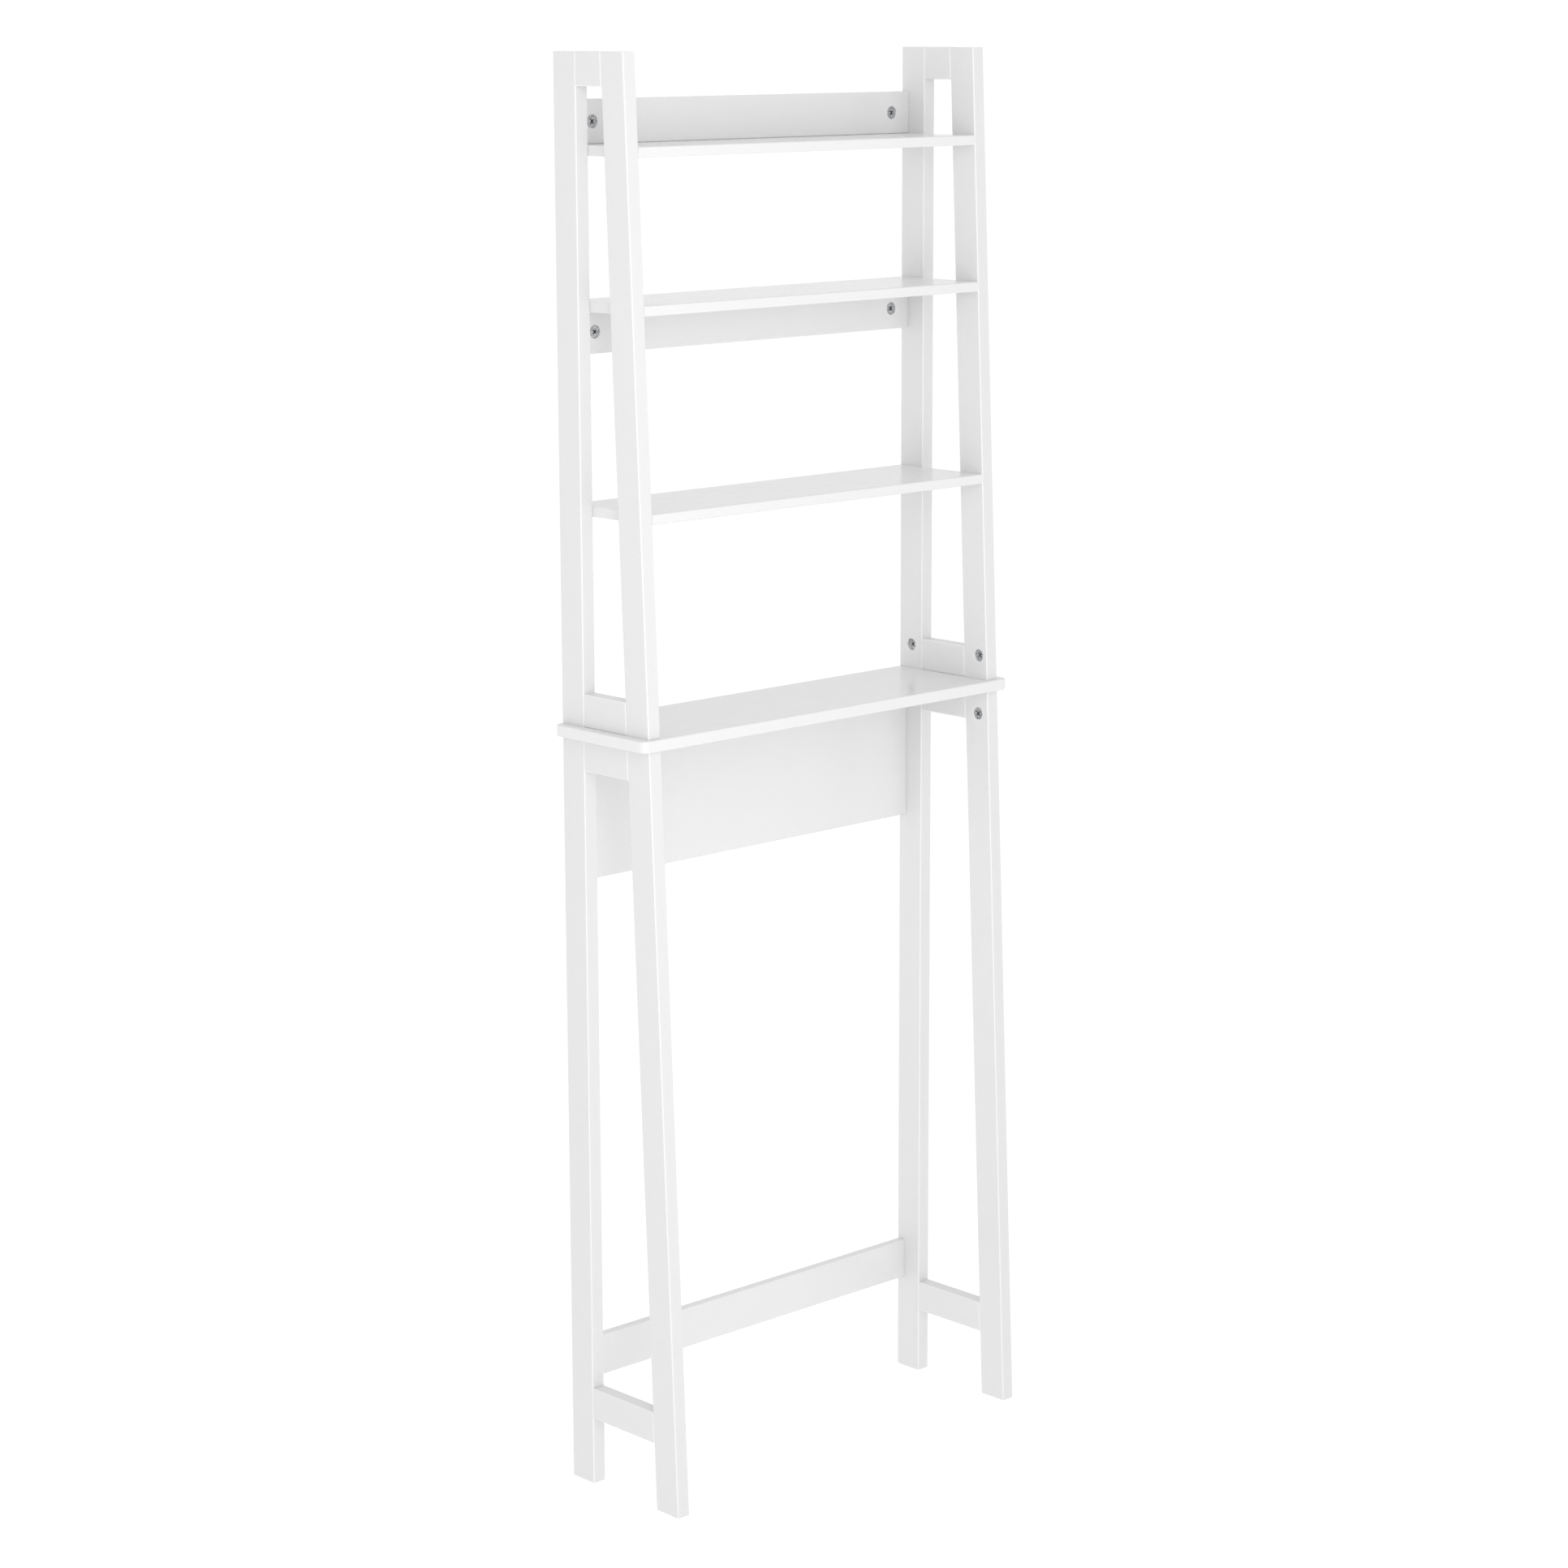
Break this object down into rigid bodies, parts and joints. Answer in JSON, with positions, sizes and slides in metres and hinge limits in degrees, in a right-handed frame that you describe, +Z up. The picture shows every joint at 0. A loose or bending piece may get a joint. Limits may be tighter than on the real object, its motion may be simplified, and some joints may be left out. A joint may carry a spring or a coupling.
{
  "type": "ladder shelf",
  "caption": "White over-toilet ladder shelf: slanted two-tier side frames, a deck, open shelves, back rails and a back panel, held by cam locks.",
  "frame": {"origin": "middle of the footprint's box on the floor", "axes": "+X to the right of a person who faces the shelf, +Y towards the wall, +Z up"},
  "size_m": [0.602, 0.191, 1.7],
  "materials": {
    "painted_wood": "semi-gloss white lacquer on board and solid stock, with eased edges",
    "cam_zinc": "die-cast zinc, dull, with a driver cross and an arrow",
    "bolt_steel": "zinc-plated steel",
    "dowel_beech": "bare beech"
  },
  "bodies": {
    "shelf": {"left_upper_rear_post": "painted_wood", "left_upper_front_post": "painted_wood", "left_upper_top_crossbar": "painted_wood", "left_upper_bottom_crossbar": "painted_wood", "left_lower_rear_post": "painted_wood", "left_lower_front_post": "painted_wood", "left_lower_top_crossbar": "painted_wood", "left_lower_bottom_crossbar": "painted_wood", "right_upper_rear_post": "painted_wood", "right_upper_front_post": "painted_wood", "right_upper_top_crossbar": "painted_wood", "right_upper_bottom_crossbar": "painted_wood", "right_lower_rear_post": "painted_wood", "right_lower_front_post": "painted_wood", "right_lower_top_crossbar": "painted_wood", "right_lower_bottom_crossbar": "painted_wood", "deck": "painted_wood", "top_shelf": "painted_wood", "middle_shelf": "painted_wood", "bottom_shelf": "painted_wood", "top_rail": "painted_wood", "middle_rail": "painted_wood", "lower_rail": "painted_wood", "back_panel": "painted_wood", "rail_bolts": "bolt_steel", "panel_bolts": "bolt_steel", "rear_deck_bolts": "bolt_steel", "front_deck_bolts": "bolt_steel", "frame_dowels": "dowel_beech", "shelf_dowels": "dowel_beech", "rail_dowels": "dowel_beech", "deck_dowels": "dowel_beech"},
    "left_top_rail_cam": {"left_top_rail_cam": "cam_zinc"},
    "right_top_rail_cam": {"right_top_rail_cam": "cam_zinc"},
    "left_middle_rail_cam": {"left_middle_rail_cam": "cam_zinc"},
    "right_middle_rail_cam": {"right_middle_rail_cam": "cam_zinc"},
    "left_lower_rail_cam": {"left_lower_rail_cam": "cam_zinc"},
    "right_lower_rail_cam": {"right_lower_rail_cam": "cam_zinc"},
    "left_panel_end_cam": {"left_panel_end_cam": "cam_zinc"},
    "right_panel_end_cam": {"right_panel_end_cam": "cam_zinc"},
    "left_panel_deck_cam": {"left_panel_deck_cam": "cam_zinc"},
    "right_panel_deck_cam": {"right_panel_deck_cam": "cam_zinc"},
    "left_rear_post_cam": {"left_rear_post_cam": "cam_zinc"},
    "right_rear_post_cam": {"right_rear_post_cam": "cam_zinc"},
    "left_front_post_cam": {"left_front_post_cam": "cam_zinc"},
    "right_front_post_cam": {"right_front_post_cam": "cam_zinc"},
    "left_lower_post_cam": {"left_lower_post_cam": "cam_zinc"},
    "right_lower_post_cam": {"right_lower_post_cam": "cam_zinc"}
  },
  "joints": [
    {"name": "left_top_rail_cam_turn", "type": "hinge", "parent": "shelf", "child": "left_top_rail_cam", "pos_m": [-0.2405, 0.0835, 1.62125], "axis": [0, -1, 0], "range_deg": [0, 180]},
    {"name": "right_top_rail_cam_turn", "type": "hinge", "parent": "shelf", "child": "right_top_rail_cam", "pos_m": [0.2405, 0.0835, 1.62125], "axis": [0, -1, 0], "range_deg": [0, 180]},
    {"name": "left_middle_rail_cam_turn", "type": "hinge", "parent": "shelf", "child": "left_middle_rail_cam", "pos_m": [-0.2405, 0.0835, 1.38325], "axis": [0, -1, 0], "range_deg": [0, 180]},
    {"name": "right_middle_rail_cam_turn", "type": "hinge", "parent": "shelf", "child": "right_middle_rail_cam", "pos_m": [0.2405, 0.0835, 1.38325], "axis": [0, -1, 0], "range_deg": [0, 180]},
    {"name": "left_lower_rail_cam_turn", "type": "hinge", "parent": "shelf", "child": "left_lower_rail_cam", "pos_m": [-0.2405, 0.0955, 0.14725], "axis": [0, 1, 0], "range_deg": [0, 180]},
    {"name": "right_lower_rail_cam_turn", "type": "hinge", "parent": "shelf", "child": "right_lower_rail_cam", "pos_m": [0.2405, 0.0955, 0.14725], "axis": [0, 1, 0], "range_deg": [0, 180]},
    {"name": "left_panel_end_cam_turn", "type": "hinge", "parent": "shelf", "child": "left_panel_end_cam", "pos_m": [-0.2405, 0.0955, 0.77], "axis": [0, 1, 0], "range_deg": [0, 180]},
    {"name": "right_panel_end_cam_turn", "type": "hinge", "parent": "shelf", "child": "right_panel_end_cam", "pos_m": [0.2405, 0.0955, 0.77], "axis": [0, 1, 0], "range_deg": [0, 180]},
    {"name": "left_panel_deck_cam_turn", "type": "hinge", "parent": "shelf", "child": "left_panel_deck_cam", "pos_m": [-0.165, 0.0955, 0.8875], "axis": [0, 1, 0], "range_deg": [0, 180]},
    {"name": "right_panel_deck_cam_turn", "type": "hinge", "parent": "shelf", "child": "right_panel_deck_cam", "pos_m": [0.165, 0.0955, 0.8875], "axis": [0, 1, 0], "range_deg": [0, 180]},
    {"name": "left_rear_post_cam_turn", "type": "hinge", "parent": "shelf", "child": "left_rear_post_cam", "pos_m": [-0.27, 0.0755, 0.9605], "axis": [1, 0, 0], "range_deg": [0, 180]},
    {"name": "right_rear_post_cam_turn", "type": "hinge", "parent": "shelf", "child": "right_rear_post_cam", "pos_m": [0.27, 0.0755, 0.9605], "axis": [-1, 0, 0], "range_deg": [0, 180]},
    {"name": "left_front_post_cam_turn", "type": "hinge", "parent": "shelf", "child": "left_front_post_cam", "pos_m": [-0.27, -0.04141, 0.9605], "axis": [1, 0, 0], "range_deg": [0, 180]},
    {"name": "right_front_post_cam_turn", "type": "hinge", "parent": "shelf", "child": "right_front_post_cam", "pos_m": [0.27, -0.04141, 0.9605], "axis": [-1, 0, 0], "range_deg": [0, 180]},
    {"name": "left_lower_post_cam_turn", "type": "hinge", "parent": "shelf", "child": "left_lower_post_cam", "pos_m": [-0.27, -0.04141, 0.8875], "axis": [1, 0, 0], "range_deg": [0, 180]},
    {"name": "right_lower_post_cam_turn", "type": "hinge", "parent": "shelf", "child": "right_lower_post_cam", "pos_m": [0.27, -0.04141, 0.8875], "axis": [-1, 0, 0], "range_deg": [0, 180]}
  ]
}
